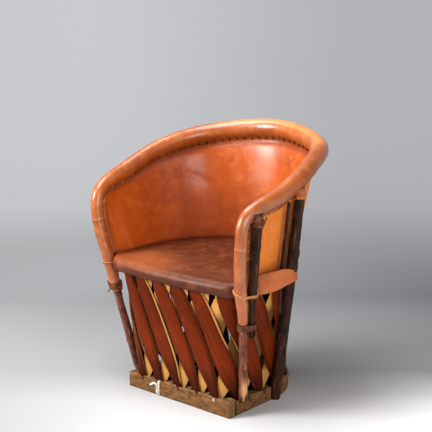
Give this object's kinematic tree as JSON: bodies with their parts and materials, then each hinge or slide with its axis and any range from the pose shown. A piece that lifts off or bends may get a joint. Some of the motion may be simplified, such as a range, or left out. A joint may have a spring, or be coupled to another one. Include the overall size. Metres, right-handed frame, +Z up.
{
  "type": "equipale armchair",
  "caption": "Leather-covered bucket armchair on a D-shaped notched plank base, carried by a crossed lattice of split slats and barked props under a padded laced rim.",
  "frame": {"origin": "centre of the footprint's bounding box, on the surface that the chair stands on", "axes": "+Z up, -Y the way the sitter faces, +X to the right of a viewer who stands in front of the chair"},
  "size_m": [0.7078, 0.6, 0.8547],
  "materials": {
    "plank": "aged mid-brown plank with worn edges",
    "bark_slat": "smooth red-brown bark on a split slat, with pale split edges",
    "split_slat": "pale straw-coloured split wood with fine long fibres",
    "bark_stick": "dark grey-brown barked stick with scuffs and knots",
    "bent_rod": "plain bent rod, hidden under leather",
    "rim_leather": "glossy saddle-brown pigskin, darker in the folds",
    "back_leather": "smooth mottled saddle-brown pigskin inside, pale orange suede outside",
    "seat_leather": "worn mid-brown pigskin with a soft sheen",
    "thong": "dark narrow rawhide thong",
    "cord": "pale grey twisted fibre cord"
  },
  "bodies": {
    "root": {"outer_slat_01": "bark_slat", "inner_slat_01": "split_slat", "outer_slat_02": "bark_slat", "inner_slat_02": "split_slat", "outer_slat_03": "bark_slat", "inner_slat_03": "split_slat", "outer_slat_04": "bark_slat", "inner_slat_04": "split_slat", "outer_slat_05": "bark_slat", "inner_slat_05": "split_slat", "outer_slat_06": "bark_slat", "inner_slat_06": "split_slat", "outer_slat_07": "bark_slat", "inner_slat_07": "split_slat", "outer_slat_08": "bark_slat", "inner_slat_08": "split_slat", "outer_slat_09": "bark_slat", "inner_slat_09": "split_slat", "outer_slat_10": "bark_slat", "inner_slat_10": "split_slat", "outer_slat_11": "bark_slat", "inner_slat_11": "split_slat", "outer_slat_12": "bark_slat", "inner_slat_12": "split_slat", "outer_slat_13": "bark_slat", "inner_slat_13": "split_slat", "outer_slat_14": "bark_slat", "inner_slat_14": "split_slat", "outer_slat_15": "bark_slat", "inner_slat_15": "split_slat", "outer_slat_16": "bark_slat", "inner_slat_16": "split_slat", "outer_slat_17": "bark_slat", "inner_slat_17": "split_slat", "base_front_plank": "plank", "base_side_plank_right": "plank", "base_side_plank_left": "plank", "base_rear_hoop": "plank", "front_post_right": "bark_stick", "front_post_left": "bark_stick", "rear_side_post_right": "bark_stick", "rear_side_post_left": "bark_stick", "thin_stick_right": "bark_stick", "thin_stick_left": "bark_stick", "prop_stick_right": "bark_stick", "prop_stick_left": "bark_stick", "back_post_right": "bark_stick", "back_post_left": "bark_stick", "seat_hoop": "bent_rod", "rim_core": "bent_rod", "rim_leather": "rim_leather", "back_leather": "back_leather", "seat_leather": "seat_leather", "rim_lacing": "thong", "lower_lashing_right": "thong", "lower_lashing_left": "thong", "seat_lashing_right": "seat_leather", "seat_lashing_left": "seat_leather", "base_tie_cord": "cord"}
  },
  "joints": []
}
